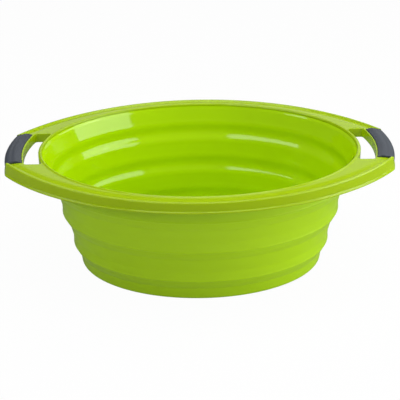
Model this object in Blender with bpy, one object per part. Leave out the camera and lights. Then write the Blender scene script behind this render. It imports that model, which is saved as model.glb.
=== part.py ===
"""Oval basin that folds flat: a hard rim with two handles, a soft stepped wall and a hard floor plate.

X runs through the two handles, Z is up, and the origin is on the floor under the basin's middle.
The rim and the two middle bands of the wall sink one by one onto the base, straight down along Z.
"""

import math

import bmesh
import bpy
import numpy as np

for item in list(bpy.data.objects):
    bpy.data.objects.remove(item, do_unlink=True)

# Opening, measured at the inner edge of the rim's bead
OPENING_HALF_LENGTH = 0.1913
OPENING_HALF_WIDTH = 0.1425

# Outline of the rim: two long side arcs, two end arcs and four rounded corners
RIM_WIDTH_AT_SIDES = 0.0186
SIDE_ARC_RADIUS = 0.284
END_ARC_RADIUS = 0.1904
CORNER_RADIUS = 0.013

# Section of the rim
BEAD_WIDTH = 0.0042
BEAD_HEIGHT = 0.0016
RIM_WALL = 0.0028
BORDER_WIDTH = 0.0042
BORDER_HEIGHT = 0.0011
EDGE_ROUNDING = 0.0022
SKIRT_DEPTH = 0.0126
SKIRT_EXTRA_AT_ENDS = 0.0056
SKIRT_LIP = 0.0016
SKIRT_LIP_HEIGHT = 0.0018
INNER_WALL_DEPTH = 0.0085
INNER_WALL_SETBACK = 0.0010

# Shapes within that section, as shares: of the bead's width and height, of the border, the edge and the lip
BEAD_SHAPE = ((0.1, 0.35), (0.4, 0.0), (0.75, 0.3))
BORDER_SLOPE = 0.65
EDGE_CHAMFER = 0.6
EDGE_CORNER = 0.15
LIP_ROOT = 0.3
LIP_RISE = 1.5

# Hand slots and the grips on the bars outside them
SLOT_SETBACK = 0.0005
SLOT_WIDTH = 0.0177
BAR_WIDTH = 0.0217
SLOT_HALF_LENGTH = 0.0472
SLOT_CORNER = 0.004
SLOT_WALL = 0.0022
SLOT_WALL_DEPTH = 0.0115
GRIP_HALF_LENGTH = 0.0435
GRIP_THICKNESS = 0.0022
GRIP_PROUD = 0.0010
GRIP_ROUNDING = 0.0045
GRIP_DEPTH = 0.0080
GRIP_SETBACK = 0.0006

# Heights of the wall, from the floor up: the lowest crest, then what repeats at each fold
BASE_CREST_HEIGHT = 0.0285
SHOULDER_HEIGHT = 0.012
BEND_HEIGHT = 0.0125
WEB_HEIGHT = 0.0185
COLLAR_HEIGHT = 0.006
FOLDS = 3

# How far the wall draws in, at the basin's ends and at its sides
COLLAR_INSET_END = 0.0018
COLLAR_INSET_SIDE = 0.0004
FIRST_CREST_INSET_END = 0.0080
FIRST_CREST_INSET_SIDE = 0.0035
BEND_INSET_END = 0.0069
BEND_INSET_SIDE = 0.0056
WEB_INSET_END = 0.0044
WEB_INSET_SIDE = 0.0037
FOOT_INSET_END = 0.0021
FOOT_INSET_SIDE = 0.0030
BEND_BULGE = 0.27

# Walls and floor
BAND_WALL = 0.0020
WEB_WALL = 0.0012
FOOT_ROUNDING = 0.0033
FOOT_ROUND_SHARE = 0.3
FOOT_WIDTH = 0.0075
PLATE_THICKNESS = 0.0025
PLATE_UNDERSIDE = 0.0035
PLATE_GRIP = 0.0035
PLATE_STEP = 0.0010
PLATE_STEP_INSET = 0.016
PLATE_RIB_HEIGHT = 0.0018
PLATE_RIB_WIDTH = 0.0030

# Clearances
SEAM_GAP = 0.0003
CUT_MARGIN = 0.005

# Counts of faces
BEND_STEPS = 2
END_STEPS = 4
CORNER_STEPS = 4
SIDE_STEPS = 8
SLOT_STEPS = 8
SLOT_CORNER_STEPS = 3
GRIP_STEPS = 10
GRIP_CORNER_STEPS = 4
SHARP_EDGE = math.radians(35)

# The rim's reach: past the opening come the bead, the slot and the bar at its ends
OUTLINE_HALF_LENGTH = OPENING_HALF_LENGTH + BEAD_WIDTH + SLOT_SETBACK + SLOT_WIDTH + BAR_WIDTH
OUTLINE_HALF_WIDTH = OPENING_HALF_WIDTH + RIM_WIDTH_AT_SIDES

# Heights that follow from the ones above
STAGE_HEIGHT = SHOULDER_HEIGHT + BEND_HEIGHT + WEB_HEIGHT
RIM_TOP = BASE_CREST_HEIGHT + FOLDS * STAGE_HEIGHT - BEND_HEIGHT + COLLAR_HEIGHT
COLLAR_BOTTOM = RIM_TOP - COLLAR_HEIGHT
LAND_TOP = RIM_TOP - BEAD_HEIGHT
PLATE_TOP = PLATE_UNDERSIDE + PLATE_THICKNESS

# Insets as pairs: at the ends, at the sides
COLLAR_INSET = (COLLAR_INSET_END, COLLAR_INSET_SIDE)
FIRST_CREST_INSET = (FIRST_CREST_INSET_END, FIRST_CREST_INSET_SIDE)
BEND_INSET = (BEND_INSET_END, BEND_INSET_SIDE)
WEB_INSET = (WEB_INSET_END, WEB_INSET_SIDE)
FOOT_INSET = (FOOT_INSET_END, FOOT_INSET_SIDE)

LIME = (0.30, 0.55, 0.006)
LIME_SOFT = (0.26, 0.49, 0.010)
SLATE = (0.055, 0.065, 0.095)


def material(name, colour, roughness):
    """A plain plastic with one colour."""
    made = bpy.data.materials.new(name)
    made.use_nodes = True
    shader = made.node_tree.nodes["Principled BSDF"]
    shader.inputs["Base Color"].default_value = (*colour, 1.0)
    shader.inputs["Roughness"].default_value = roughness
    shader.inputs["Metallic"].default_value = 0.0
    return made


def finish(name, build, look):
    """Turns a bmesh into a named object with outward faces and smooth shading."""
    bmesh.ops.recalc_face_normals(build, faces=build.faces)
    mesh = bpy.data.meshes.new(name)
    build.to_mesh(mesh)
    build.free()
    mesh.materials.append(look)
    mesh.shade_smooth()
    mesh.set_sharp_from_angle(angle=SHARP_EDGE)
    made = bpy.data.objects.new(name, mesh)
    bpy.context.scene.collection.objects.link(made)
    return made


def skin(build, loops, closed):
    """Joins rings of points with quads; closed joins the last ring to the first, or else both are capped."""
    rings = [[build.verts.new(point) for point in loop] for loop in loops]
    pairs = list(zip(rings, rings[1:]))
    if closed:
        pairs.append((rings[-1], rings[0]))
    for low, high in pairs:
        for index in range(len(low)):
            after = (index + 1) % len(low)
            build.faces.new((low[index], low[after], high[after], high[index]))
    if not closed:
        build.faces.new(rings[0])
        build.faces.new(rings[-1])


# The rim's outline is the outline of two pairs of discs, shrunk and grown again to round its corners
SIDE_CENTRE = OUTLINE_HALF_WIDTH - SIDE_ARC_RADIUS
END_CENTRE = OUTLINE_HALF_LENGTH - END_ARC_RADIUS


def corner_centre():
    """Where the side arc and the end arc meet once both are drawn in by the corner radius."""
    side = SIDE_ARC_RADIUS - CORNER_RADIUS
    end = END_ARC_RADIUS - CORNER_RADIUS
    apart = math.hypot(END_CENTRE, SIDE_CENTRE)
    along = (end * end - side * side + apart * apart) / (2 * apart)
    across = math.sqrt(end * end - along * along)
    toward = (-END_CENTRE / apart, SIDE_CENTRE / apart)
    x = END_CENTRE + along * toward[0] - across * toward[1]
    y = along * toward[1] + across * toward[0]
    if y < 0:
        x = END_CENTRE + along * toward[0] + across * toward[1]
        y = along * toward[1] - across * toward[0]
    return x, y


CORNER_X, CORNER_Y = corner_centre()


def outline_distance(x, y):
    """Signed distance to the rim's outline, negative inside; the outline is the same in all four quarters."""
    x = np.abs(x)
    y = np.abs(y)
    to_side = np.hypot(x, y - SIDE_CENTRE) - SIDE_ARC_RADIUS
    to_end = np.hypot(x - END_CENTRE, y) - END_ARC_RADIUS
    past_side = (x - CORNER_X) * (CORNER_Y - SIDE_CENTRE) - (y - CORNER_Y) * CORNER_X > 0
    past_end = (y - CORNER_Y) * (CORNER_X - END_CENTRE) - (x - CORNER_X) * CORNER_Y > 0
    to_corner = np.hypot(x - CORNER_X, y - CORNER_Y) - CORNER_RADIUS
    return np.where(past_side & past_end, to_corner, np.maximum(to_side, to_end))


def opening_point(turn):
    """A point of the opening's ellipse and the outward direction square to it."""
    x = OPENING_HALF_LENGTH * np.cos(turn)
    y = OPENING_HALF_WIDTH * np.sin(turn)
    out_x = np.cos(turn) / OPENING_HALF_LENGTH
    out_y = np.sin(turn) / OPENING_HALF_WIDTH
    length = np.hypot(out_x, out_y)
    return x, y, out_x / length, out_y / length


def bisect(low, high, is_low, steps=44):
    """The value between low and high, one for each station, where is_low turns false."""
    for _ in range(steps):
        middle = (low + high) / 2
        below = is_low(middle)
        low = np.where(below, middle, low)
        high = np.where(below, high, middle)
    return (low + high) / 2


def turn_through(x, y):
    """The station whose outward direction passes through a point outside the opening."""
    def short_of(turn):
        at_x, at_y, out_x, out_y = opening_point(turn)
        return (y - at_y) * out_x - (x - at_x) * out_y > 0
    return float(bisect(np.array(0.0), np.array(math.pi / 2), short_of))


def rim_stations():
    """Turns round the rim, closer together where the outline has its corners."""
    grow = CORNER_RADIUS / (END_ARC_RADIUS - CORNER_RADIUS)
    first = turn_through(CORNER_X + (CORNER_X - END_CENTRE) * grow, CORNER_Y * (1 + grow))
    grow = CORNER_RADIUS / (SIDE_ARC_RADIUS - CORNER_RADIUS)
    last = turn_through(CORNER_X * (1 + grow), CORNER_Y + (CORNER_Y - SIDE_CENTRE) * grow)
    quarter = np.concatenate([
        np.linspace(0.0, first, END_STEPS, endpoint=False),
        np.linspace(first, last, CORNER_STEPS, endpoint=False),
        np.linspace(last, math.pi / 2, SIDE_STEPS, endpoint=False),
    ])
    mirrored = math.pi - np.append(quarter[1:], math.pi / 2)[::-1]
    half = np.concatenate([quarter, mirrored])
    half = np.unique(np.round(half, 9))
    return np.concatenate([half, half + math.pi])


STATIONS = rim_stations()


def oval(inset, height):
    """One level ring of the basin's plan, drawn in from the opening by (end, side)."""
    x = (OPENING_HALF_LENGTH - inset[0]) * np.cos(STATIONS)
    y = (OPENING_HALF_WIDTH - inset[1]) * np.sin(STATIONS)
    return np.stack([x, y, np.full_like(x, height)], axis=-1)


def drawn_in(inset, amount):
    """An inset grown by an amount, given as (end, side) or as one wall thickness for both."""
    if np.isscalar(amount):
        amount = (amount, amount)
    return (inset[0] + amount[0], inset[1] + amount[1])


def share(inset, part):
    return (inset[0] * part, inset[1] * part)


def turned(name, outer, inner, look):
    """A ring-shaped piece from its outer rows (top to bottom) and inner rows (bottom to top)."""
    build = bmesh.new()
    skin(build, [oval(inset, height) for inset, height in outer + inner], closed=True)
    return finish(name, build, look)


def crest_height(stage):
    """Height of the crest of a band; stage 0 is the one under the rim, the last one is on the base."""
    return BASE_CREST_HEIGHT + (FOLDS - 1 - stage) * STAGE_HEIGHT


def crest_inset(stage):
    inset = FIRST_CREST_INSET
    for _ in range(stage):
        inset = drawn_in(drawn_in(inset, BEND_INSET), WEB_INSET)
    return inset


def bend_rows(start, top):
    """Rows of the bulging stretch under a crest; BEND_BULGE of its inset grows as the square of the way."""
    rows = []
    for step in range(BEND_STEPS + 1):
        s = step / BEND_STEPS
        grown = (1 - BEND_BULGE) * s + BEND_BULGE * s * s
        rows.append((drawn_in(start, share(BEND_INSET, grown)), top - BEND_HEIGHT * s))
    return rows


def thickened(rows, wall):
    """The inner rows that stand a wall behind the outer ones, in the opposite order."""
    return [(drawn_in(inset, wall), height) for inset, height in reversed(rows)]


def wall_band(name, stage, look):
    """A stiff band: an upright shoulder, its crest and the bulging stretch under it."""
    crest = crest_inset(stage)
    top = crest_height(stage)
    outer = [(crest, top + SHOULDER_HEIGHT - SEAM_GAP / 2)]
    outer += bend_rows(crest, top)
    inset, height = outer[-1]
    outer[-1] = (inset, height + SEAM_GAP / 2)
    return turned(name, outer, thickened(outer, BAND_WALL), look)


def fold_web(name, stage, look):
    """A thin slanted ring from the foot of one band to the shoulder of the next one down."""
    lower = crest_inset(stage)
    upper = drawn_in(lower, share(WEB_INSET, -1)) if stage else COLLAR_INSET
    foot = crest_height(stage) + SHOULDER_HEIGHT
    outer = [(upper, foot + WEB_HEIGHT - SEAM_GAP / 2), (lower, foot + SEAM_GAP / 2)]
    return turned(name, outer, thickened(outer, WEB_WALL), look)


def wall_collar(look):
    """The soft wall's top, bonded inside the rim's inner wall and tucked under the bead."""
    top = LAND_TOP - BORDER_HEIGHT - SEAM_GAP
    low = COLLAR_BOTTOM + SEAM_GAP / 2
    seat = drawn_in((0.0, 0.0), SEAM_GAP - INNER_WALL_SETBACK)
    outer = [(seat, top), (seat, (top + low) / 2), (COLLAR_INSET, low)]
    inner = [(drawn_in(COLLAR_INSET, BAND_WALL), low), (drawn_in(seat, BAND_WALL), top)]
    return turned("wall_collar", outer, inner, look)


def base_cup(look):
    """The wall's lowest band, with the foot that it stands on and the groove that holds the floor plate."""
    crest = crest_inset(FOLDS - 1)
    outer = [(crest, BASE_CREST_HEIGHT + SHOULDER_HEIGHT - SEAM_GAP / 2)]
    outer += bend_rows(crest, BASE_CREST_HEIGHT)
    edge = drawn_in(outer[-1][0], FOOT_INSET)
    outer.append((edge, FOOT_ROUNDING))
    outer.append((drawn_in(edge, FOOT_ROUNDING * FOOT_ROUND_SHARE), FOOT_ROUNDING * FOOT_ROUND_SHARE))
    outer.append((drawn_in(edge, FOOT_ROUNDING), 0.0))
    lip = drawn_in(edge, FOOT_WIDTH)
    groove = drawn_in(lip, -PLATE_GRIP - SEAM_GAP)
    inner = [
        (lip, 0.0),
        (lip, PLATE_UNDERSIDE - SEAM_GAP),
        (groove, PLATE_UNDERSIDE - SEAM_GAP),
        (groove, PLATE_TOP + SEAM_GAP),
        (lip, PLATE_TOP + SEAM_GAP),
        (drawn_in(groove, SEAM_GAP), PLATE_TOP + SEAM_GAP + BAND_WALL),
    ]
    return turned("base_cup", outer, inner + thickened(outer[:BEND_STEPS + 2], BAND_WALL), look)


def base_plate(look):
    """The hard floor: a flat plate with a slightly raised middle and two ribs under it."""
    foot = drawn_in(drawn_in(crest_inset(FOLDS - 1), BEND_INSET), FOOT_INSET)
    edge = drawn_in(foot, FOOT_WIDTH - PLATE_GRIP)
    step = drawn_in(edge, PLATE_STEP_INSET)
    rib = drawn_in(step, PLATE_STEP_INSET)
    rib_foot = PLATE_UNDERSIDE - PLATE_RIB_HEIGHT
    rows = [
        (drawn_in(rib, PLATE_RIB_WIDTH), PLATE_UNDERSIDE),
        (drawn_in(rib, PLATE_RIB_WIDTH), rib_foot),
        (rib, rib_foot),
        (rib, PLATE_UNDERSIDE),
        (edge, PLATE_UNDERSIDE),
        (edge, PLATE_TOP),
        (step, PLATE_TOP),
        (drawn_in(step, PLATE_STEP), PLATE_TOP + PLATE_STEP),
    ]
    build = bmesh.new()
    skin(build, [oval(inset, height) for inset, height in rows], closed=False)
    return finish("base_plate", build, look)


def skirt_depth(x):
    """The skirt hangs lower towards the handles."""
    return SKIRT_DEPTH + SKIRT_EXTRA_AT_ENDS * (x / OUTLINE_HALF_LENGTH) ** 2


def rim_loft(look):
    """The rim before its slots are cut: a channel open below, from the bead to the skirt's lip."""
    at_x, at_y, out_x, out_y = opening_point(STATIONS)

    def from_bead(out, height):
        """A row at a distance outside the opening's edge."""
        x = at_x + out * out_x
        y = at_y + out * out_y
        return np.stack([x, y, np.full_like(x, height)], axis=-1)

    def from_outline(inward, drop, below_skirt=False):
        """A row at a distance inside the outline; drop is measured from the rim's top or the skirt's foot."""
        def inside(reach):
            return outline_distance(at_x + reach * out_x, at_y + reach * out_y) < -inward
        reach = bisect(np.zeros_like(at_x), np.full_like(at_x, OUTLINE_HALF_LENGTH), inside)
        x = at_x + reach * out_x
        y = at_y + reach * out_y
        foot = skirt_depth(x) if below_skirt else np.zeros_like(x)
        return np.stack([x, y, RIM_TOP - drop - foot], axis=-1)

    nose = BEAD_HEIGHT + BORDER_HEIGHT
    lip = SKIRT_LIP_HEIGHT
    border = BEAD_HEIGHT - BORDER_HEIGHT
    under = INNER_WALL_SETBACK + RIM_WALL
    rows = [
        from_bead(INNER_WALL_SETBACK, RIM_TOP - INNER_WALL_DEPTH),
        from_bead(INNER_WALL_SETBACK, RIM_TOP - nose),
        from_bead(0.0, RIM_TOP - BEAD_HEIGHT),
    ]
    rows += [from_bead(BEAD_WIDTH * out, RIM_TOP - BEAD_HEIGHT * down) for out, down in BEAD_SHAPE]
    rows += [
        from_bead(BEAD_WIDTH, LAND_TOP),
        from_outline(BORDER_WIDTH, BEAD_HEIGHT),
        from_outline(BORDER_WIDTH * BORDER_SLOPE, border),
        from_outline(EDGE_ROUNDING * EDGE_CHAMFER, border),
        from_outline(EDGE_ROUNDING * EDGE_CORNER, border + EDGE_ROUNDING * EDGE_CHAMFER),
        from_outline(0.0, BEAD_HEIGHT + EDGE_ROUNDING),
        from_outline(-SKIRT_LIP * LIP_ROOT, -lip * LIP_RISE, below_skirt=True),
        from_outline(-SKIRT_LIP, -lip, below_skirt=True),
        from_outline(-SKIRT_LIP, 0.0, below_skirt=True),
        from_outline(RIM_WALL - SKIRT_LIP * LIP_ROOT, 0.0, below_skirt=True),
        from_outline(RIM_WALL, BEAD_HEIGHT + RIM_WALL),
        from_bead(under, RIM_TOP - BEAD_HEIGHT - RIM_WALL),
        from_bead(under, RIM_TOP - INNER_WALL_DEPTH),
    ]
    build = bmesh.new()
    skin(build, rows, closed=True)
    return finish("rim_frame", build, look)


def slot_outline(grow):
    """A hand slot's outline: the bead on its inner side, the bar on its outer side, rounded corners."""
    half = SLOT_HALF_LENGTH + grow
    radius = SLOT_CORNER + grow
    near_a = OPENING_HALF_LENGTH + BEAD_WIDTH + SLOT_SETBACK - grow
    near_b = OPENING_HALF_WIDTH + BEAD_WIDTH + SLOT_SETBACK - grow
    far = END_ARC_RADIUS - BAR_WIDTH + grow

    def near(y):
        return near_a * np.sqrt(1 - (y / near_b) ** 2)

    def outer(y):
        return END_CENTRE + np.sqrt(far * far - y * y)

    straight = half - radius
    side = np.linspace(-straight, straight, SLOT_STEPS + 1)
    arc = np.linspace(0.0, math.pi / 2, SLOT_CORNER_STEPS + 1)[1:-1]
    far_centre = outer(straight) - radius
    near_centre = near(straight) + radius
    points = [(outer(y), y) for y in side]
    points += [(far_centre + radius * math.cos(a), straight + radius * math.sin(a)) for a in arc]
    points += [(far_centre, half), (near_centre, half)]
    points += [(near_centre - radius * math.sin(a), straight + radius * math.cos(a)) for a in arc]
    points += [(near(y), y) for y in side[::-1]]
    points += [(near_centre - radius * math.cos(a), -straight - radius * math.sin(a)) for a in arc]
    points += [(near_centre, -half), (far_centre, -half)]
    points += [(far_centre + radius * math.sin(a), -straight - radius * math.cos(a)) for a in arc]
    return np.array(points)


def slot_prisms(name, grow, low, high, look):
    """The same upright prism at both ends of the basin."""
    build = bmesh.new()
    outline = slot_outline(grow)
    for side in (1, -1):
        loops = [np.column_stack([outline * side, np.full(len(outline), height)]) for height in (low, high)]
        skin(build, loops, closed=False)
    return finish(name, build, look)


def grip_profile(grow):
    """The grip's section as (radius from the end arc's centre, height): down the outside, back up the inside.

    Grown for the recess it also runs out through the bar's inner edge.
    """
    outer = END_ARC_RADIUS + GRIP_PROUD + grow
    inner = outer - GRIP_THICKNESS - 2 * grow
    top = RIM_TOP + GRIP_PROUD + grow
    under = top - GRIP_THICKNESS - 2 * grow
    bar_edge = END_ARC_RADIUS - BAR_WIDTH + (-GRIP_SETBACK if grow else GRIP_SETBACK)
    foot = RIM_TOP - GRIP_DEPTH - grow
    steps = np.linspace(0.0, math.pi / 2, GRIP_CORNER_STEPS + 1)
    centre = (outer - GRIP_ROUNDING, top - GRIP_ROUNDING)
    small = GRIP_ROUNDING - GRIP_THICKNESS
    points = [(bar_edge, under), (bar_edge, top - GRIP_PROUD), (bar_edge + GRIP_PROUD, top)]
    for a in steps:
        points.append((centre[0] + GRIP_ROUNDING * math.sin(a), centre[1] + GRIP_ROUNDING * math.cos(a)))
    points += [(outer, foot), (inner, foot)]
    for a in steps[::2]:
        points.append((inner - small + small * math.cos(a), under - small + small * math.sin(a)))
    return points


def grip_solid(build, side, grow):
    """The grip's section carried along the bar; its two ends are cut square to the basin's width."""
    half = GRIP_HALF_LENGTH + grow
    loops = []
    for y in np.linspace(-half, half, GRIP_STEPS + 1):
        loop = []
        for radius, height in grip_profile(grow):
            loop.append((side * (END_CENTRE + math.sqrt(radius * radius - y * y)), side * y, height))
        loops.append(loop)
    skin(build, loops, closed=False)


def grip(name, side, look):
    build = bmesh.new()
    grip_solid(build, side, 0.0)
    return finish(name, build, look)


def grip_recess(look):
    """What the two grips take out of the bars, with their clearance."""
    build = bmesh.new()
    for side in (1, -1):
        grip_solid(build, side, SEAM_GAP)
    return finish("grip_recess", build, look)


def as_cutter(target, tool, operation):
    """Adds an exact Boolean to target and keeps its tool out of the render."""
    cut = target.modifiers.new(tool.name, "BOOLEAN")
    cut.operation = operation
    cut.solver = "EXACT"
    cut.object = tool
    tool.hide_render = True
    tool.display_type = "WIRE"


def rim_frame(look):
    """The hard rim in one piece with both handles: the channel, the walled slots and the recesses."""
    rim = rim_loft(look)
    wall_top = LAND_TOP - RIM_WALL / 2
    walls = slot_prisms("slot_walls", SLOT_WALL, RIM_TOP - SLOT_WALL_DEPTH, wall_top, look)
    slots = slot_prisms("slot_cut", 0.0, RIM_TOP - SLOT_WALL_DEPTH - CUT_MARGIN, RIM_TOP + CUT_MARGIN, look)
    as_cutter(rim, walls, "UNION")
    as_cutter(rim, slots, "DIFFERENCE")
    as_cutter(rim, grip_recess(look), "DIFFERENCE")
    return rim


def sliding_group(name, height, parent, pieces):
    """An empty on the slide's axis that carries the pieces which sink together."""
    carrier = bpy.data.objects.new(name, None)
    bpy.context.scene.collection.objects.link(carrier)
    carrier.parent = parent
    carrier.location.z = height - (parent.matrix_world.translation.z if parent else 0.0)
    bpy.context.view_layer.update()
    for piece in pieces:
        piece.parent = carrier
        piece.location.z = -height
    return carrier


hard_lime = material("lime_polypropylene", LIME, 0.28)
soft_lime = material("lime_elastomer", LIME_SOFT, 0.38)
soft_slate = material("slate_soft_touch", SLATE, 0.62)

base_plate(hard_lime)
base_cup(soft_lime)
web_lower = fold_web("fold_web_lower", 2, soft_lime)
band_lower = wall_band("wall_band_lower", 1, soft_lime)
web_middle = fold_web("fold_web_middle", 1, soft_lime)
band_upper = wall_band("wall_band_upper", 0, soft_lime)
web_upper = fold_web("fold_web_upper", 0, soft_lime)
rim_pieces = [
    wall_collar(soft_lime),
    rim_frame(hard_lime),
    grip("grip_right", 1, soft_slate),
    grip("grip_left", -1, soft_slate),
]
lower_travel = sliding_group("lower_band_travel", crest_height(1), None, [web_lower, band_lower])
upper_travel = sliding_group("upper_band_travel", crest_height(0), lower_travel, [web_middle, band_upper])
sliding_group("rim_travel", COLLAR_BOTTOM, upper_travel, [web_upper] + rim_pieces)
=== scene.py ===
"""Looks of an oval basin that folds flat: soft stepped wall, hard rim with two handles, slate grips."""

import math

import bpy
import numpy as np
from mathutils import Matrix, Vector


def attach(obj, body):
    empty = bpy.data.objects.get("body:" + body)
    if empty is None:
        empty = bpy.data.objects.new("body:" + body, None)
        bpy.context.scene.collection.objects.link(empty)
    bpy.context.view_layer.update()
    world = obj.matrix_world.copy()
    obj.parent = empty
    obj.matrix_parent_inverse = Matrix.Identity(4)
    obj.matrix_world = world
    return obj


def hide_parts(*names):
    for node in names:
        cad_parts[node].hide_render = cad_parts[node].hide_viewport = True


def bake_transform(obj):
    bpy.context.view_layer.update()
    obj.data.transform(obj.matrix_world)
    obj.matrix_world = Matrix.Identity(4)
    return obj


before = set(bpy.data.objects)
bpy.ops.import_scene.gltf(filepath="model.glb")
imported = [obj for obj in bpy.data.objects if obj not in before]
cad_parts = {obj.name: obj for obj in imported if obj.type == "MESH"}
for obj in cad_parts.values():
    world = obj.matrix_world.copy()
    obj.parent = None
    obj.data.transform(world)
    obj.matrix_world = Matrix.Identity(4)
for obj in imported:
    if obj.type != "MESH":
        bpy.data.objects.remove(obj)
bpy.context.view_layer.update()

# Soft wall, in seven zones from the foot to the rim
# One moulding in thermoplastic elastomer: stiff bands of 2 mm with an upright shoulder, a crest and a
# bulging bend, joined by slanted webs of 1.2 mm that turn inside out when the basin folds. It is bonded
# under the rim's bead.
OPENING_HALF_LENGTH = 0.1913
OPENING_HALF_WIDTH = 0.1425
RIM_TOP = 0.151
BEAD_SEAT = 0.0032
CREST_HEIGHTS = (0.0285, 0.0715, 0.1145)
SHOULDER_HEIGHT = 0.012
BEND_HEIGHT = 0.0125
WEB_HEIGHT = 0.0185
TOP_CREST_INSET = np.array((0.0080, 0.0035))
BEND_INSET = np.array((0.0069, 0.0056))
WEB_INSET = np.array((0.0044, 0.0037))
TOP_WEB_INSET = np.array((0.0070, 0.0041))
FOOT_INSET = np.array((0.0021, 0.0030))
BEND_BULGE = 0.27
BEND_SOFTNESS = 0.0026
CREST_LINE = np.array((0.0004, 0.0006))
CREST_LINE_HALF = 0.0010
BAND_WALL = 0.0020
WEB_WALL = 0.0012
HINGE_SOFTNESS = 0.0030
INNER_SOFTNESS = 0.0080
SEAM_BELOW_HINGE = 0.0015
WALL_TOP = RIM_TOP - BEAD_SEAT
FLARE_DEPTH = 0.0072
FLARE_FOOT = RIM_TOP - FLARE_DEPTH
FLARE_TOP_INSETS = (-0.0007, 0.0)
FOOT_ROUNDING = 0.0033
FOOT_ARC_ROWS = 6
FOOT_WIDTH = 0.0075
PLATE_UNDERSIDE = 0.0035
PLATE_TOP = 0.0060
PLATE_GRIP = 0.0035
FILLET_TOP = 0.0130
FILLET_ROWS = 11
LIP_TOP = 0.0066
LIP_CHAMFER = 0.0004
JOINT_GAP = 0.0003
GRID_STEP = 0.0001
GRID_END = 0.1521
ROW_STEP = 0.0008
WALL_TURNS = np.linspace(0.0, 2 * math.pi, 240, endpoint=False)
WALL_CREASE = 40


def add(tree, kind, inputs=(), **settings):
    """Adds one node: settings are its own properties, inputs its sockets' values or what feeds them."""
    made = tree.nodes.new(kind)
    for name, value in settings.items():
        setattr(made, name, value)
    for name, value in dict(inputs).items():
        if isinstance(value, bpy.types.NodeSocket):
            tree.links.new(value, made.inputs[name])
        else:
            made.inputs[name].default_value = value
    return made


def linear(code):
    """An sRGB hex colour as linear light: v / 12.92 where dark, else ((v + 0.055) / 1.055) to the 2.4th."""
    value = np.array([int(code[at:at + 2], 16) for at in (0, 2, 4)]) / 255
    light = np.where(value <= 0.04045, value / 12.92, ((value + 0.055) / 1.055) ** 2.4)
    return (*light.tolist(), 1.0)


def soft_elastomer(name, pale, deep, least, most, sheen):
    """Moulded thermoplastic elastomer: a slow drift of tone, a satin skin of uneven gloss, a fine grain."""
    made = bpy.data.materials.new(name)
    made.use_nodes = True
    tree = made.node_tree
    shader = tree.nodes["Principled BSDF"]
    place = add(tree, "ShaderNodeTexCoord").outputs["Object"]
    # Tone drifts over about 50 mm, as the colourant does in the flow of the melt
    drift = add(tree, "ShaderNodeTexNoise", {"Vector": place, "Scale": 20.0, "Detail": 2.0})
    tone = add(tree, "ShaderNodeMix", {0: drift.outputs[0], 6: linear(pale), 7: linear(deep)},
               data_type="RGBA")
    tree.links.new(tone.outputs[2], shader.inputs["Base Color"])
    # Gloss is uneven over about 14 mm; the noise lies between 0.3 and 0.7
    patch = add(tree, "ShaderNodeTexNoise", {"Vector": place, "Scale": 70.0, "Detail": 3.0})
    gloss = add(tree, "ShaderNodeMapRange", {0: patch.outputs[0], 1: 0.3, 2: 0.7, 3: least, 4: most})
    tree.links.new(gloss.outputs[0], shader.inputs["Roughness"])
    # The mould's grain is about 0.3 mm; it is drawn at 1 mm, so that it shows
    grain = add(tree, "ShaderNodeTexNoise", {"Vector": place, "Scale": 1000.0, "Detail": 1.0})
    bump = add(tree, "ShaderNodeBump", {"Height": grain.outputs[0], "Strength": 0.2, "Distance": 0.00005})
    tree.links.new(bump.outputs[0], shader.inputs["Normal"])
    shader.inputs["IOR"].default_value = 1.49
    shader.inputs["Specular IOR Level"].default_value = sheen
    return made


# Both sides are one elastomer: the inside's tone is painted a little lighter than the outside's, as painted
# light for the brighter inside, and the outside's a little darker, as painted shade
wall_outside = soft_elastomer("satin_elastomer", "A9D203", "A6CE02", 0.32, 0.36, 0.36)
wall_inside = soft_elastomer("glossy_elastomer", "B1D904", "ABD302", 0.05, 0.09, 0.5)


def averaged(values, width):
    """A running mean over a width of the height grid, which rounds each kink of a slope."""
    count = max(1, round(width / GRID_STEP))
    padded = np.pad(values, (count, count), mode="edge")
    return np.convolve(padded, np.ones(count) / count, mode="same")[count:-count]


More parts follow.
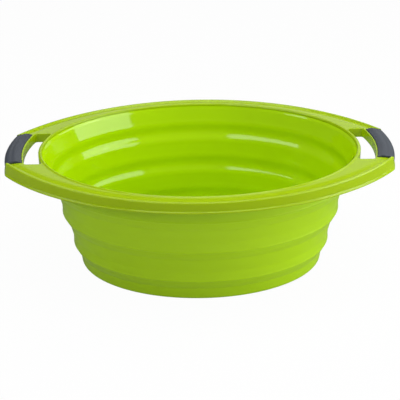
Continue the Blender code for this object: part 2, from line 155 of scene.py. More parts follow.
def wall_profile():
    """Heights, and the outer and inner insets from the opening there, each as (end, side).

    The outer slope is 0 on a shoulder, (0.73 + 0.54 s) of the mean one at a share s of the way down a bend,
    and constant on a web and the foot. It is rounded by a running mean and summed from the top crest. Each
    crest stands out by a fine line, exp of minus (height / half width) squared. The inner wall stands a
    thickness behind, and above the top hinge runs straight up; near the bead both flare out with the square
    of the height.
    """
    grid = np.arange(0.0, GRID_END, GRID_STEP)
    slope = np.zeros((2, len(grid)))
    line = np.zeros((2, len(grid)))
    thickness = np.full(len(grid), BAND_WALL)
    for number, crest in enumerate(CREST_HEIGHTS):
        s = (crest - grid) / BEND_HEIGHT
        bend = (s > 0) & (s <= 1)
        way = (1 - BEND_BULGE + 2 * BEND_BULGE * s) / BEND_HEIGHT
        web = (grid > crest + SHOULDER_HEIGHT) & (grid <= crest + SHOULDER_HEIGHT + WEB_HEIGHT)
        drawn = TOP_WEB_INSET if number == 2 else WEB_INSET
        slope += np.outer(BEND_INSET, way * bend) + np.outer(drawn / WEB_HEIGHT, web)
        line += np.outer(CREST_LINE, np.exp(-((grid - crest) / CREST_LINE_HALF) ** 2))
        thickness[web] = WEB_WALL
    foot = grid <= CREST_HEIGHTS[0] - BEND_HEIGHT
    slope += np.outer(FOOT_INSET / (CREST_HEIGHTS[0] - BEND_HEIGHT), foot)
    slope = np.array([averaged(row, BEND_SOFTNESS) for row in slope])
    thickness = averaged(thickness, HINGE_SOFTNESS)
    summed = np.cumsum(slope[:, ::-1], axis=1)[:, ::-1] * GRID_STEP
    shoulder = np.argmin(np.abs(grid - CREST_HEIGHTS[2] - SHOULDER_HEIGHT / 2))
    outer = TOP_CREST_INSET[:, None] + summed - summed[:, shoulder][:, None]
    inner = outer + thickness
    outer -= line
    hinge = CREST_HEIGHTS[2] + SHOULDER_HEIGHT + WEB_HEIGHT / 2
    turn = np.argmin(np.abs(grid - hinge))
    straight = inner[:, turn][:, None] - np.outer(TOP_WEB_INSET / WEB_HEIGHT, grid - hinge)
    inner = np.where(grid > hinge, np.maximum(straight, 0.0), inner)
    crisp = np.array([averaged(row, BEND_SOFTNESS) for row in inner])
    soft = np.array([averaged(row, INNER_SOFTNESS) for row in inner])
    inner = np.where(grid > hinge, crisp, soft)
    flare = np.clip((grid - FLARE_FOOT) / (WALL_TOP - FLARE_FOOT), 0.0, 1.0) ** 2
    outer += (FLARE_TOP_INSETS[0] - outer) * flare
    inner += (FLARE_TOP_INSETS[1] - inner) * flare
    return grid, outer, inner


GRID, OUTER, INNER = wall_profile()


def inset_at(profile, height):
    """The (end, side) insets of a profile at some heights, by linear interpolation; one row a height."""
    return np.stack([np.interp(height, GRID, row) for row in profile], axis=-1)


def heights_between(low, high):
    """Evenly spaced heights about a row step apart, both ends included."""
    return np.linspace(low, high, max(2, round((high - low) / ROW_STEP) + 1))


def ovals(insets, heights):
    """Rings of the wall: x is (half length less end inset) cos t, y (half width less side inset) sin t."""
    x = np.outer(OPENING_HALF_LENGTH - insets[:, 0], np.cos(WALL_TURNS))
    y = np.outer(OPENING_HALF_WIDTH - insets[:, 1], np.sin(WALL_TURNS))
    z = np.repeat(np.asarray(heights)[:, None], len(WALL_TURNS), axis=1)
    return np.stack([x, y, z], axis=-1)


def ring_mesh(name, rings, closed):
    """A closed mesh of quads over rings, an array of rows of points, with its faces turned outwards.

    closed joins the last row to the first; or else the first and the last row each get one flat face.
    """
    rows, count, _ = rings.shape
    index = np.arange(rows * count).reshape(rows, count)
    if closed:
        low = index
        high = np.roll(index, -1, axis=0)
    else:
        low = index[:-1]
        high = index[1:]
    quads = np.stack([low, np.roll(low, -1, axis=1), np.roll(high, -1, axis=1), high], axis=-1)
    faces = quads.reshape(-1, 4).tolist()
    if not closed:
        faces += [index[0][::-1].tolist(), index[-1].tolist()]
    mesh = bpy.data.meshes.new(name)
    mesh.from_pydata(rings.reshape(-1, 3).tolist(), [], faces)
    corner = rings.reshape(-1, 3)[quads.reshape(-1, 4)]
    turned = np.cross(corner[:, 2] - corner[:, 0], corner[:, 3] - corner[:, 1])
    if np.einsum("ij,ij->", corner.mean(axis=1) - rings.mean(axis=(0, 1)), turned) < 0:
        mesh.flip_normals()
    made = bpy.data.objects.new(name, mesh)
    bpy.context.scene.collection.objects.link(made)
    return made


def soften(piece, degrees):
    """Smooth shading with sharp edges where faces turn by more than this."""
    piece.data.shade_smooth()
    piece.data.set_sharp_from_angle(angle=math.radians(degrees))


def finish_wall(piece, outer_rows):
    """The first rows of faces are the outside, with its satin skin; the rest are the inside."""
    piece.data.materials.append(wall_outside)
    piece.data.materials.append(wall_inside)
    inside = np.arange(len(piece.data.polygons)) // len(WALL_TURNS) >= outer_rows
    piece.data.polygons.foreach_set("material_index", inside.astype(np.int32))
    soften(piece, WALL_CREASE)


def wall_zone(name, low, high):
    """A closed ring of the wall between two heights: down its outer face and up its inner face."""
    heights = heights_between(low, high)
    down = ovals(inset_at(OUTER, heights[::-1]), heights[::-1])
    up = ovals(inset_at(INNER, heights), heights)
    piece = ring_mesh(name, np.concatenate([down, up]), closed=True)
    finish_wall(piece, len(heights) - 1)
    return piece


def foot_and_groove():
    """Insets and heights of the foot: rounded outside, flat below, the plate's groove, a fillet inside.

    The rounding is a quarter circle, and the fillet a quarter ellipse from the groove's lip to the wall.
    """
    edge = inset_at(OUTER, np.array([FOOT_ROUNDING]))[0]
    turn = np.linspace(0.0, math.pi / 2, FOOT_ARC_ROWS + 1)[1:]
    insets = [edge + FOOT_ROUNDING * (1 - math.cos(a)) for a in turn]
    heights = [FOOT_ROUNDING * (1 - math.sin(a)) for a in turn]
    lip = edge + FOOT_WIDTH
    groove = lip - PLATE_GRIP - JOINT_GAP
    for inset, height in ((lip - LIP_CHAMFER, 0.0),
                          (lip, LIP_CHAMFER),
                          (lip, PLATE_UNDERSIDE - JOINT_GAP),
                          (groove, PLATE_UNDERSIDE - JOINT_GAP),
                          (groove, PLATE_TOP + JOINT_GAP),
                          (lip, PLATE_TOP + JOINT_GAP)):
        insets.append(inset)
        heights.append(height)
    wall = inset_at(INNER, np.array([FILLET_TOP]))[0]
    for a in np.linspace(math.pi / 2, 0.0, FILLET_ROWS + 1)[:-1]:
        insets.append(lip - (lip - wall) * math.cos(a))
        heights.append(FILLET_TOP - (FILLET_TOP - LIP_TOP) * math.sin(a))
    return np.array(insets), np.array(heights)


def wall_foot(name, high):
    """The wall's lowest zone: its outer face, the foot with its groove, and its inner face."""
    outside = heights_between(FOOT_ROUNDING, high)[::-1]
    inside = heights_between(FILLET_TOP, high)
    rows = [ovals(inset_at(OUTER, outside), outside)]
    rows.append(ovals(*foot_and_groove()))
    rows.append(ovals(inset_at(INNER, inside), inside))
    piece = ring_mesh(name, np.concatenate(rows), closed=True)
    finish_wall(piece, len(outside) - 1 + FOOT_ARC_ROWS)
    return piece


SEAMS = []
for crest in CREST_HEIGHTS:
    low_seam = crest + SHOULDER_HEIGHT - SEAM_BELOW_HINGE
    SEAMS += [low_seam, low_seam + WEB_HEIGHT]

cup = wall_foot("wall_foot", SEAMS[0])
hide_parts("base_cup")
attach(cup, "base")
for name, node, under, over, low_seam, high_seam in (
        ("wall_web_lower", "fold_web_lower", "base", "lower_band", SEAMS[0], SEAMS[1]),
        ("wall_web_middle", "fold_web_middle", "lower_band", "upper_band", SEAMS[2], SEAMS[3]),
        ("wall_web_upper", "fold_web_upper", "upper_band", "rim", SEAMS[4], SEAMS[5])):
    web = wall_zone(name, low_seam, high_seam)
    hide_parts(node)
    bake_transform(web)
for name, node, body, low_seam, high_seam in (
        ("wall_step_lower", "wall_band_lower", "lower_band", SEAMS[1], SEAMS[2]),
        ("wall_step_upper", "wall_band_upper", "upper_band", SEAMS[3], SEAMS[4]),
        ("wall_top", "wall_collar", "rim", SEAMS[5], WALL_TOP)):
    step = wall_zone(name, low_seam, high_seam)
    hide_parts(node)
    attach(step, body)

# Floor plate
# A hard polypropylene plate, moulded on its own and pressed into the groove of the foot. Its middle is
# raised by a millimetre with a soft step, and a ring-shaped rib stiffens it from below.
PLATE_STEP = 0.0010
PLATE_STEP_INSET = 0.016
PLATE_STEP_WIDTH = 0.0040
PLATE_CHAMFER = 0.0004
PLATE_POLE = np.array((0.006, 0.004))
PLATE_CREASE = 36
RIB_HEIGHT = 0.0018
RIB_WIDTH = 0.0030
RIB_FLANK = ((0.0006, 0.0), (0.0, 0.0005), (-0.0002, RIB_HEIGHT - 0.0003), (-0.0005, RIB_HEIGHT))


def hard_polypropylene(name, pale, deep, least, most):
    """Injection moulded polypropylene: glossy, uneven in tone, with the faint waves of a cooled skin."""
    made = bpy.data.materials.new(name)
    made.use_nodes = True
    tree = made.node_tree
    shader = tree.nodes["Principled BSDF"]
    place = add(tree, "ShaderNodeTexCoord").outputs["Object"]
    # Tone drifts over about 60 mm and gloss over about 17 mm; the noise lies between 0.3 and 0.7
    drift = add(tree, "ShaderNodeTexNoise", {"Vector": place, "Scale": 16.0, "Detail": 2.0})
    tone = add(tree, "ShaderNodeMix", {0: drift.outputs[0], 6: linear(pale), 7: linear(deep)},
               data_type="RGBA")
    tree.links.new(tone.outputs[2], shader.inputs["Base Color"])
    patch = add(tree, "ShaderNodeTexNoise", {"Vector": place, "Scale": 60.0, "Detail": 4.0})
    gloss = add(tree, "ShaderNodeMapRange", {0: patch.outputs[0], 1: 0.3, 2: 0.7, 3: least, 4: most})
    tree.links.new(gloss.outputs[0], shader.inputs["Roughness"])
    # The skin's waves are about 8 mm long and a few micrometres high
    waves = add(tree, "ShaderNodeTexNoise", {"Vector": place, "Scale": 120.0, "Detail": 1.0})
    bump = add(tree, "ShaderNodeBump", {"Height": waves.outputs[0], "Strength": 0.3, "Distance": 0.00004})
    tree.links.new(bump.outputs[0], shader.inputs["Normal"])
    shader.inputs["IOR"].default_value = 1.49
    shader.inputs["Specular IOR Level"].default_value = 0.32
    return made


rim_polypropylene = hard_polypropylene("glossy_polypropylene", "9BB804", "95B203", 0.14, 0.22)


def smooth(value):
    """0 below 0, 1 above 1, and 3 v squared less 2 v cubed between."""
    value = np.clip(value, 0.0, 1.0)
    return value * value * (3.0 - 2.0 * value)


def plate_rings():
    """The plate's section from the middle of its underside over the rib and the edge to that of its top.

    The rib's two flanks are alike, and the step on the plate's top rises as smooth() does.
    """
    edge = inset_at(OUTER, np.array([FOOT_ROUNDING]))[0] + FOOT_WIDTH - PLATE_GRIP
    step = edge + PLATE_STEP_INSET
    rib = step + PLATE_STEP_INSET
    middle = np.array((OPENING_HALF_LENGTH, OPENING_HALF_WIDTH)) - PLATE_POLE
    raised = PLATE_TOP + PLATE_STEP
    rows = [(middle, PLATE_UNDERSIDE), (rib + 2 * RIB_WIDTH, PLATE_UNDERSIDE)]
    rows += [(rib + RIB_WIDTH + out, PLATE_UNDERSIDE - down) for out, down in RIB_FLANK]
    rows += [(rib - out, PLATE_UNDERSIDE - down) for out, down in RIB_FLANK[::-1]]
    rows += [(edge + PLATE_CHAMFER, PLATE_UNDERSIDE), (edge, PLATE_UNDERSIDE + PLATE_CHAMFER)]
    rows += [(edge, PLATE_TOP - PLATE_CHAMFER), (edge + PLATE_CHAMFER, PLATE_TOP)]
    rows.append((step - PLATE_STEP_WIDTH, PLATE_TOP))
    for s in np.linspace(0.0, 1.0, 11):
        rows.append((step + PLATE_STEP_WIDTH * (s - 0.5), PLATE_TOP + PLATE_STEP * smooth(s)))
    rows += [(step + PLATE_STEP_WIDTH, raised), (middle, raised)]
    return ovals(np.array([row[0] for row in rows]), np.array([row[1] for row in rows]))


plate = ring_mesh("floor_plate", plate_rings(), closed=False)
plate.data.materials.append(rim_polypropylene)
soften(plate, PLATE_CREASE)
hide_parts("base_plate")
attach(plate, "base")

# Rim with both handles
# One injection moulding in glossy polypropylene: a raised bead round the opening, a land that slopes out to
# a raised border, a skirt with a lip at its foot, and a hand slot with its own walls at each end.
OUTLINE_HALF_LENGTH = 0.2354
OUTLINE_HALF_WIDTH = 0.1611
SIDE_ARC_RADIUS = 0.284
END_ARC_RADIUS = 0.1904
CORNER_RADIUS = 0.013
SIDE_CENTRE = OUTLINE_HALF_WIDTH - SIDE_ARC_RADIUS
END_CENTRE = OUTLINE_HALF_LENGTH - END_ARC_RADIUS
CORNER_TURN_FROM = 0.27
CORNER_TURN_TO = 0.56
BEAD_REACH = 0.0044
BEAD_CROWN = 0.0020
BEAD_FALL = 0.0030
BORDER_REACH = 0.0056
BORDER_CROWN = 0.0026
BORDER_EDGE = 0.0013
BORDER_DROP = 0.0005
BORDER_MARGIN = 0.0004
EDGE_FALL = 0.0019
PLATEAU_DROP = 0.0009
LAND_SLOPE = 0.2126
LAND_FOOT = 0.0124
LAND_SOFTNESS = 0.002
SKIRT_DEPTH = 0.0126
SKIRT_EXTRA_AT_ENDS = 0.0056
SKIRT_DRAFT = 0.0004
LIP_HEIGHT = 0.0030
LIP_SECTION = ((0.0006, 0.0024), (0.0010, 0.0019), (0.0014, 0.0016), (0.0016, 0.0011), (0.0016, 0.0004),
               (0.0013, 0.0), (-0.0018, 0.0), (-0.0023, 0.0005))
LIP_SPREADS_PAST = 0.0009
LIP_EXTRA_AT_SIDES = 0.0009
RIM_WALL = 0.0028
RIM_UNDERSIDE = 0.0042
UNDERSIDE_FILLET = 0.0008
INNER_WALL_DEPTH = 0.0085
INNER_WALL_SETBACK = 0.0010
INNER_WALL_DRAFT = 0.0006
RIM_CREASE = 32
SLOT_SETBACK = 0.0047
SLOT_HALF_LENGTH = 0.0472
SLOT_CORNER = 0.004
SLOT_WALL = 0.0022
SLOT_WALL_DEPTH = 0.0125
SLOT_WALL_TOP = 0.0035
SLOT_ROUNDING = 0.0011
SLOT_TOOL_DEPTH = 0.030
SLOT_TOOL_HEIGHT = 0.010
SLOT_TOOL_FLARE = (0.0014, 0.0005)
BAR_WIDTH = 0.0217


def corner_of_outline():
    """Centre of the corner's arc: where the side arc and the end arc cross, both less the corner's radius.

    Along the line d between their centres it lies (e squared less s squared plus d squared) / 2 d from the
    end's, where e and s are the two lessened radii.
    """
    side = SIDE_ARC_RADIUS - CORNER_RADIUS
    end = END_ARC_RADIUS - CORNER_RADIUS
    apart = math.hypot(END_CENTRE, SIDE_CENTRE)
    along = (end * end - side * side + apart * apart) / (2 * apart)
    across = math.sqrt(end * end - along * along)
    x = END_CENTRE - along * END_CENTRE / apart - across * SIDE_CENTRE / apart
    y = along * SIDE_CENTRE / apart - across * END_CENTRE / apart
    return x, y


CORNER_X, CORNER_Y = corner_of_outline()


def inside_outline(x, y):
    """Distance from the rim's outline, positive inside: the least of those to its side, end and corner."""
    x = np.abs(x)
    y = np.abs(y)
    to_side = np.hypot(x, y - SIDE_CENTRE) - SIDE_ARC_RADIUS
    to_end = np.hypot(x - END_CENTRE, y) - END_ARC_RADIUS
    past_side = (x - CORNER_X) * (CORNER_Y - SIDE_CENTRE) - (y - CORNER_Y) * CORNER_X > 0
    past_end = (y - CORNER_Y) * (CORNER_X - END_CENTRE) - (x - CORNER_X) * CORNER_Y > 0
    to_corner = np.hypot(x - CORNER_X, y - CORNER_Y) - CORNER_RADIUS
    return -np.where(past_side & past_end, to_corner, np.maximum(to_side, to_end))


def land_height(q):
    """Height of the rim's top at a distance q inside its outline, under the rim's highest line.

    The border is flat up to its crown and falls to the land, which rises inwards at a steady slope to a
    plateau. The ramp is half of (f less q) plus the root of (f less q) squared plus softness squared, with f
    the land's foot.
    """
    ramp = 0.5 * ((LAND_FOOT - q) + np.sqrt((LAND_FOOT - q) ** 2 + LAND_SOFTNESS ** 2))
    land = -PLATEAU_DROP - LAND_SLOPE * ramp
    fall = smooth((q - BORDER_CROWN) / (BORDER_REACH - BORDER_CROWN))
    return -BORDER_DROP * (1.0 - fall) + land * fall


def carve(piece, tool, operation):
    """An exact Boolean, applied at once; the tool is deleted."""
    cut = piece.modifiers.new("carve", "BOOLEAN")
    cut.operation = operation
    cut.solver = "EXACT"
    cut.object = tool
    shapes = bpy.context.evaluated_depsgraph_get()
    carved = bpy.data.meshes.new_from_object(piece.evaluated_get(shapes))
    piece.modifiers.clear()
    plain = piece.data
    piece.data = carved
    bpy.data.meshes.remove(plain)
    bpy.data.objects.remove(tool)


def rim_turns():
    """Turns round the opening, closer together where the outline has its corners."""
    quarter = np.concatenate([
        np.linspace(0.0, CORNER_TURN_FROM, 26, endpoint=False),
        np.linspace(CORNER_TURN_FROM, CORNER_TURN_TO, 44, endpoint=False),
        np.linspace(CORNER_TURN_TO, math.pi / 2, 56, endpoint=False),
    ])
    mirrored = math.pi - np.append(quarter[1:], math.pi / 2)[::-1]
    half = np.unique(np.round(np.concatenate([quarter, mirrored]), 9))
    return np.concatenate([half, half + math.pi])


# Each station's point on the opening's ellipse, and the way out from it
TURNS = rim_turns()
TURNS_COS = np.round(np.cos(TURNS), 12)
TURNS_SIN = np.round(np.sin(TURNS), 12)
at_x = OPENING_HALF_LENGTH * TURNS_COS
at_y = OPENING_HALF_WIDTH * TURNS_SIN
out_x = TURNS_COS / OPENING_HALF_LENGTH
out_y = TURNS_SIN / OPENING_HALF_WIDTH
out_length = np.hypot(out_x, out_y)
out_x = out_x / out_length
out_y = out_y / out_length


def reach_to(q):
    """How far outside the opening each station meets the line q inside the outline, by 40 halvings."""
    low = np.zeros_like(at_x)
    high = np.full_like(at_x, 0.2)
    for _ in range(40):
        middle = (low + high) / 2
        short = inside_outline(at_x + middle * out_x, at_y + middle * out_y) > q
        low = np.where(short, middle, low)
        high = np.where(short, high, middle)
    return (low + high) / 2


def rim_row(reach, height):
    """One ring of the rim at a reach outside the opening and a height from the rim's top, negative below."""
    x = at_x + reach * out_x
    y = at_y + reach * out_y
    return np.stack([x, y, RIM_TOP + height + np.zeros_like(x)], axis=-1)


def top_row(reach):
    """One ring of the rim's upper face: the bead's outer side blends into the land."""
    x = at_x + reach * out_x
    y = at_y + reach * out_y
    bead = 1.0 - smooth((reach - BEAD_CROWN) / (BEAD_REACH - BEAD_CROWN))
    return np.stack([x, y, RIM_TOP + land_height(inside_outline(x, y)) * (1.0 - bead)], axis=-1)


def rim_rings():
    """The rim's section from the inner wall's foot over the bead, land, border and skirt to its inside.

    The bead's inner side and the border's edge are quarter ellipses. The skirt gets deeper with the square
    of x, and its lip stands out further with the square of y.
    """
    quarter = np.linspace(0.0, math.pi / 2, 10)
    rows = [rim_row(INNER_WALL_SETBACK, -INNER_WALL_DEPTH), rim_row(INNER_WALL_SETBACK, -BEAD_SEAT)]
    rows.append(rim_row(0.0, -BEAD_SEAT))
    rows += [rim_row(BEAD_CROWN * (1 - math.cos(a)), -BEAD_FALL * (1 - math.sin(a))) for a in quarter]
    rows += [top_row(BEAD_CROWN + (BEAD_REACH - BEAD_CROWN) * step / 7) for step in range(1, 8)]
    border = reach_to(BORDER_REACH + BORDER_MARGIN)
    rows += [top_row(BEAD_REACH + (border - BEAD_REACH) * step / 20) for step in range(1, 21)]
    for step in range(1, 11):
        rows.append(top_row(reach_to(BORDER_REACH - (BORDER_REACH - BORDER_EDGE) * step / 10)))
    for a in quarter[1:]:
        drop = -BORDER_DROP - EDGE_FALL * (1 - math.cos(a))
        rows.append(rim_row(reach_to(BORDER_EDGE * (1 - math.sin(a))), drop))
    edge = reach_to(0.0)
    foot = -SKIRT_DEPTH - SKIRT_EXTRA_AT_ENDS * ((at_x + edge * out_x) / OUTLINE_HALF_LENGTH) ** 2
    start = -BORDER_DROP - EDGE_FALL
    for step in range(1, 7):
        drop = start + (foot + LIP_HEIGHT - start) * step / 6
        rows.append(rim_row(reach_to(-SKIRT_DRAFT * step / 6), drop))
    wider = LIP_EXTRA_AT_SIDES * (at_y / OPENING_HALF_WIDTH) ** 2
    for out, rise in LIP_SECTION:
        rows.append(rim_row(reach_to(-out) + wider * (out > LIP_SPREADS_PAST), foot + rise))
    rows.append(rim_row(reach_to(RIM_WALL), -RIM_UNDERSIDE - UNDERSIDE_FILLET))
    rows.append(rim_row(reach_to(RIM_WALL + UNDERSIDE_FILLET), -RIM_UNDERSIDE))
    inner = INNER_WALL_SETBACK + RIM_WALL
    rows.append(rim_row(inner + INNER_WALL_DRAFT, -RIM_UNDERSIDE))
    rows.append(rim_row(inner, -INNER_WALL_DEPTH))
    return np.array(rows)


def slot_outline(grow):
    """A hand slot's outline, widened by grow: an ellipse inside, the bar's arc outside, round corners."""
    half = SLOT_HALF_LENGTH + grow
    radius = SLOT_CORNER + grow
    near_a = OPENING_HALF_LENGTH + SLOT_SETBACK - grow
    near_b = OPENING_HALF_WIDTH + SLOT_SETBACK - grow
    far = END_ARC_RADIUS - BAR_WIDTH + grow
    straight = half - radius
    side = np.linspace(-straight, straight, 41)
    arc = np.linspace(0.0, math.pi / 2, 9)[1:-1]
    outer_x = END_CENTRE + np.sqrt(far * far - side * side)
    near_x = near_a * np.sqrt(1 - (side / near_b) ** 2)
    far_centre = outer_x[-1] - radius
    near_centre = near_x[-1] + radius
    cos = radius * np.cos(arc)
    sin = radius * np.sin(arc)
    end = np.linspace(far_centre, near_centre, 7)
    x = np.concatenate([outer_x, far_centre + cos, end, near_centre - sin, near_x[::-1],
                        near_centre - cos, end[::-1], far_centre + sin])
    y = np.concatenate([side, straight + sin, np.full(7, half), straight + cos, side[::-1],
                        -straight - sin, np.full(7, -half), -straight - cos])
    return x, y


def slot_tool(name, side, rows):
    """A closed prism over the slot's outline from rows of (grow, height, whether it rides on the land)."""
    rings = []
    for grow, height, on_top in rows:
        x, y = slot_outline(grow)
        base = land_height(inside_outline(x, y)) if on_top else 0.0
        rings.append(np.stack([side * x, side * y, RIM_TOP + height + base + np.zeros_like(x)], axis=-1))
    return ring_mesh(name, np.array(rings), closed=False)


def slot_rows():
    """The slot's straight wall, the quarter round that opens it at the rim's top, and a way out above."""
    rows = [(0.0, -SLOT_TOOL_DEPTH, False), (0.0, -SLOT_ROUNDING, True)]
    for degrees in (14, 28, 42, 56, 70):
        a = math.radians(degrees)
        rows.append((SLOT_ROUNDING * (1 - math.cos(a)), SLOT_ROUNDING * (math.sin(a) - 1), True))
    grow, height, _ = rows[-1]
    rows.append((grow + SLOT_TOOL_FLARE[0], height + SLOT_TOOL_FLARE[1], True))
    rows.append((grow + SLOT_TOOL_FLARE[0], SLOT_TOOL_HEIGHT, False))
    return rows


rim = ring_mesh("rim_moulding", rim_rings(), closed=True)
for side in (1, -1):
    walls = [(SLOT_WALL, -SLOT_WALL_DEPTH, False), (SLOT_WALL, -SLOT_WALL_TOP, False)]
    carve(rim, slot_tool("slot_walls", side, walls), "UNION")
    carve(rim, slot_tool("slot", side, slot_rows()), "DIFFERENCE")

# Grips
# A soft slate elastomer is moulded over the top and the upper part of the outer side of each bar. It lies in
# a recess of the rim and stands 0.4 mm proud of the bar's side, with a crowned top, a wide rounding to the
# outside and soft ends.
GRIP_HALF_LENGTH = 0.0435
GRIP_THICKNESS = 0.0022
GRIP_PROUD = 0.0004
GRIP_PROUD_ON_TOP = GRIP_PROUD * 0.8
GRIP_CROWN = 0.0010
GRIP_DEPTH = 0.0080
GRIP_SETBACK = 0.0018
GRIP_SLOT_ROUNDING = 0.0024
GRIP_OUTER_ROUNDING = (0.0085, 0.0050)
GRIP_FOOT_ROUNDING = 0.0009
GRIP_GAP = 0.0003
GRIP_END_ROUNDING = 0.0007
GRIP_CREASE = 50
LOWER_FACE_POINTS = 9
RECESS_BEYOND = 0.004


def grip_section(grow):
    """The grip's section as (radius from the end arc's centre, height from the rim's top), a closed loop.

    Its upper face is a small quarter round at the slot, a crown of half a sine and a wide quarter ellipse
    to the outer side, whose foot is rounded in two flats; the lower face runs a wall's thickness inside it.
    grow widens it all round, and where that makes it thin, the small roundings shrink with it, so that the
    loop never crosses itself.
    """
    inner = END_ARC_RADIUS - BAR_WIDTH + GRIP_SETBACK - grow
    outer = END_ARC_RADIUS + GRIP_PROUD + grow
    top = GRIP_PROUD_ON_TOP + grow
    foot = -GRIP_DEPTH - grow
    wall = GRIP_THICKNESS + 2 * grow
    under = top - wall
    small = min(GRIP_SLOT_ROUNDING, 0.95 * wall)
    chamfer = min(GRIP_FOOT_ROUNDING, 0.5 * wall)
    wide, high = GRIP_OUTER_ROUNDING
    a = np.linspace(0.0, math.pi / 2, 6)
    radius = [inner + small * (1 - np.cos(a))]
    height = [top - small * (1 - np.sin(a))]
    s = np.linspace(0.0, 1.0, 9)[1:-1]
    radius.append(inner + small + (outer - wide - inner - small) * s)
    height.append(top + GRIP_CROWN * np.sin(math.pi * s))
    a = np.linspace(0.0, math.pi / 2, 10)
    radius.append(outer - wide + wide * np.sin(a))
    height.append(top - high * (1 - np.cos(a)))
    radius.append([outer - 0.45 * chamfer, outer - chamfer])
    height.append([foot + 0.67 * chamfer, foot])
    radius.append([outer - wall])
    height.append([foot])
    a = np.linspace(math.pi / 2, 0.0, LOWER_FACE_POINTS - 2)
    radius.append(outer - wide + (wide - wall) * np.sin(a))
    height.append(under - (high - wall) * (1 - np.cos(a)))
    radius.append([inner])
    height.append([under])
    return np.concatenate(radius), np.concatenate(height)


def recess_section():
    """The recess's section: the grip's lower face, a joint's gap away, closed above and outside the rim."""
    radius, height = grip_section(GRIP_GAP)
    beyond = radius.max() + RECESS_BEYOND
    radius = np.append(radius[-LOWER_FACE_POINTS:], (radius[-1], beyond, beyond))
    height = np.append(height[-LOWER_FACE_POINTS:], (RECESS_BEYOND, RECESS_BEYOND, height.min()))
    return radius, height


def along_bar(side, stations):
    """Sections along the bar: x is the end arc's centre plus the root of (radius squared less y squared)."""
    rings = []
    for y, (radius, height) in stations:
        x = END_CENTRE + np.sqrt(radius * radius - y * y)
        rings.append(np.stack([side * x, np.full_like(x, side * y), RIM_TOP + height], axis=-1))
    return np.array(rings)


recess_half = GRIP_HALF_LENGTH + GRIP_GAP
recess_stations = [(y, recess_section()) for y in np.linspace(recess_half, -recess_half, 41)]
for side in (1, -1):
    carve(rim, ring_mesh("recess", along_bar(side, recess_stations), closed=False), "DIFFERENCE")
rim.data.materials.clear()
rim.data.materials.append(rim_polypropylene)
rim.data.polygons.foreach_set("material_index", np.zeros(len(rim.data.polygons), dtype=np.int32))
soften(rim, RIM_CREASE)
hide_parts("rim_frame")
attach(rim, "rim")


def pad_stations():
    """Places along the bar and the grip's section at each; the ends are rounded by a quarter circle."""
    ends = []
    for degrees in (0, 30, 60, 90):
        a = math.radians(degrees)
        ends.append((GRIP_HALF_LENGTH - GRIP_END_ROUNDING * (1 - math.cos(a)),
                     -GRIP_END_ROUNDING * (1 - math.sin(a))))
    straight = GRIP_HALF_LENGTH - GRIP_END_ROUNDING
    places = ends + [(y, 0.0) for y in np.linspace(straight, -straight, 49)[1:-1]]
    places += [(-y, grow) for y, grow in ends[::-1]]
    return [(y, grip_section(grow)) for y, grow in places]


def soft_touch_rubber(name):
    """Soft-touch elastomer, moulded over the bar: matte, with a fine sand grain and a paler bloom."""
    made = bpy.data.materials.new(name)
    made.use_nodes = True
    tree = made.node_tree
    shader = tree.nodes["Principled BSDF"]
    place = add(tree, "ShaderNodeTexCoord").outputs["Object"]
    # The bloom drifts over about 11 mm
    bloom = add(tree, "ShaderNodeTexNoise", {"Vector": place, "Scale": 90.0, "Detail": 4.0})
    tone = add(tree, "ShaderNodeMix", {0: bloom.outputs[0], 6: linear("343A42"), 7: linear("3C424B")},
               data_type="RGBA")
    tree.links.new(tone.outputs[2], shader.inputs["Base Color"])
    # The sand grain is about 0.4 mm; it is drawn at 0.9 mm, so that it shows
    grain = add(tree, "ShaderNodeTexNoise", {"Vector": place, "Scale": 1100.0, "Detail": 2.0})
    bump = add(tree, "ShaderNodeBump", {"Height": grain.outputs[0], "Strength": 0.5, "Distance": 0.00012})
    tree.links.new(bump.outputs[0], shader.inputs["Normal"])
    shader.inputs["Roughness"].default_value = 0.42
    shader.inputs["IOR"].default_value = 1.49
    shader.inputs["Specular IOR Level"].default_value = 0.4
    return made


grip_rubber = soft_touch_rubber("soft_touch_rubber")
for name, node, side in (("grip_pad_right", "grip_right", 1), ("grip_pad_left", "grip_left", -1)):
    pad = ring_mesh(name, along_bar(side, pad_stations()), closed=False)
    pad.data.materials.append(grip_rubber)
    soften(pad, GRIP_CREASE)
    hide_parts(node)
    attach(pad, "rim")

# Studio
# A paper floor and a room that are white to the camera and dim in gloss. Broad softboxes at the right, the
# left and above light the basin, two long low ones at its ends and a high one at the left are mirrored in
# the glossy inside, and a key at the right, a weak front one and a weak one behind fill the rest.
FLOOR_HALF = 30.0
FLOOR_BELOW = 0.0002
FLOOR_SEEN = 0.97
FLOOR_IN_GLOSS = 0.2
ROOM_LIGHT = 0.1
LAMP_TARGET = Vector((0, 0, 0.08))

floor_mesh = bpy.data.meshes.new("paper_floor")
floor_corners = [(-FLOOR_HALF, -FLOOR_HALF), (FLOOR_HALF, -FLOOR_HALF), (FLOOR_HALF, FLOOR_HALF),
                 (-FLOOR_HALF, FLOOR_HALF)]
floor_mesh.from_pydata([(x, y, -FLOOR_BELOW) for x, y in floor_corners], [], [(0, 1, 2, 3)])
floor = bpy.data.objects.new("paper_floor", floor_mesh)
bpy.context.scene.collection.objects.link(floor)


def seen_directly(tree, path):
    """1 for a ray from the camera or one that has passed through something, or else 0."""
    rays = {0: path.outputs["Is Camera Ray"], 1: path.outputs["Is Transmission Ray"]}
    return add(tree, "ShaderNodeMath", rays, operation="MAXIMUM").outputs[0]


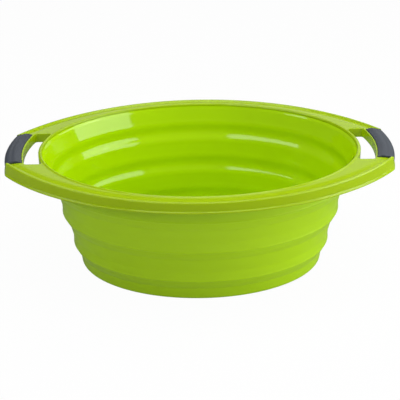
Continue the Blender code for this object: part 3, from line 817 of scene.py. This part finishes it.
paper = bpy.data.materials.new("white_paper")
paper.use_nodes = True
tree = paper.node_tree
shader = tree.nodes["Principled BSDF"]
shader.inputs["Base Color"].default_value = linear("D6D6D6")
shader.inputs["Roughness"].default_value = 0.9
shader.inputs["Specular IOR Level"].default_value = 0.0
path = add(tree, "ShaderNodeLightPath")
direct = seen_directly(tree, path)
any_of = add(tree, "ShaderNodeMath", {0: direct, 1: path.outputs["Is Glossy Ray"]}, operation="MAXIMUM")
strength = add(tree, "ShaderNodeMapRange", {0: direct, 3: FLOOR_IN_GLOSS})
glow = add(tree, "ShaderNodeEmission", {"Color": linear("FFFFFF"), "Strength": strength.outputs[0]})
seen = add(tree, "ShaderNodeMath", {0: any_of.outputs[0], 1: FLOOR_SEEN}, operation="MULTIPLY")
both = add(tree, "ShaderNodeMixShader", {0: seen.outputs[0], 1: shader.outputs[0], 2: glow.outputs[0]})
tree.links.new(both.outputs[0], tree.nodes["Material Output"].inputs["Surface"])
floor_mesh.materials.append(paper)

world = bpy.data.worlds.new("dim_room")
bpy.context.scene.world = world
world.use_nodes = True
tree = world.node_tree
background = tree.nodes["Background"]
background.inputs["Color"].default_value = linear("FFFFFF")
direct = seen_directly(tree, add(tree, "ShaderNodeLightPath"))
strength = add(tree, "ShaderNodeMapRange", {0: direct, 3: ROOM_LIGHT, 4: 1.0})
tree.links.new(strength.outputs[0], background.inputs["Strength"])


def softbox(name, azimuth, elevation, distance, width, height, radiance):
    """A rectangular lamp that faces the basin from an azimuth from +X and an elevation, in degrees.

    Its power is pi times its radiance times its area.
    """
    lamp = bpy.data.lights.new(name, "AREA")
    lamp.shape = "RECTANGLE"
    lamp.size = width
    lamp.size_y = height
    lamp.energy = radiance * math.pi * width * height
    made = bpy.data.objects.new(name, lamp)
    toward = Vector((math.cos(math.radians(azimuth)) * math.cos(math.radians(elevation)),
                     math.sin(math.radians(azimuth)) * math.cos(math.radians(elevation)),
                     math.sin(math.radians(elevation))))
    made.location = LAMP_TARGET + toward * distance
    made.rotation_euler = toward.to_track_quat("Z", "Y").to_euler()
    bpy.context.scene.collection.objects.link(made)


softbox("softbox_right", -23, 15.5, 1.6, 1.55, 0.76, 3.2)
softbox("softbox_low_right", -8, 0, 1.5, 1.1, 0.15, 9.5)
softbox("softbox_low_left", -165, 0, 1.5, 0.9, 0.15, 2.5)
softbox("softbox_key", 5, 42, 1.2, 1.15, 0.6, 3.1)
softbox("softbox_left", -136, 32, 1.6, 1.5, 0.45, 3.3)
softbox("softbox_front", -66, 50, 1.6, 1.0, 0.6, 0.7)
softbox("softbox_high_left", 180, 45, 1.6, 0.9, 0.7, 1.6)
softbox("softbox_above", 0, 88, 1.4, 1.1, 1.1, 3.1)
softbox("softbox_behind", 80, 22, 2.6, 3.4, 1.3, 0.65)

# Camera
# It stands 1.2 m in front of the basin and looks down into it, with a short telephoto lens. It leans a
# little to one side, as the photograph does.
CAMERA_PLACE = Vector((-0.00298, -1.13348, 0.62932))
LOOK_DOWN_ANGLE = 0.45402
LOOK_SIDE_ANGLE = -0.00233
CAMERA_ROLL = -0.01574
CAMERA_LENS = 90.56
SENSOR_WIDTH = 36.0

camera = bpy.data.objects.new("camera", bpy.data.cameras.new("camera"))
bpy.context.scene.collection.objects.link(camera)
camera.data.lens = CAMERA_LENS
camera.data.sensor_width = SENSOR_WIDTH
level = math.cos(LOOK_DOWN_ANGLE)
backward = Vector((math.sin(LOOK_SIDE_ANGLE) * level,
                   -math.cos(LOOK_SIDE_ANGLE) * level,
                   math.sin(LOOK_DOWN_ANGLE)))
level_right = Vector((0, 0, 1)).cross(backward).normalized()
level_up = backward.cross(level_right)
right = level_right * math.cos(CAMERA_ROLL) + level_up * math.sin(CAMERA_ROLL)
upward = level_up * math.cos(CAMERA_ROLL) - level_right * math.sin(CAMERA_ROLL)
turned = Matrix((right, upward, backward)).transposed().to_4x4()
camera.matrix_world = Matrix.Translation(CAMERA_PLACE) @ turned
bpy.context.scene.camera = camera
bpy.context.scene.view_settings.view_transform = "Standard"
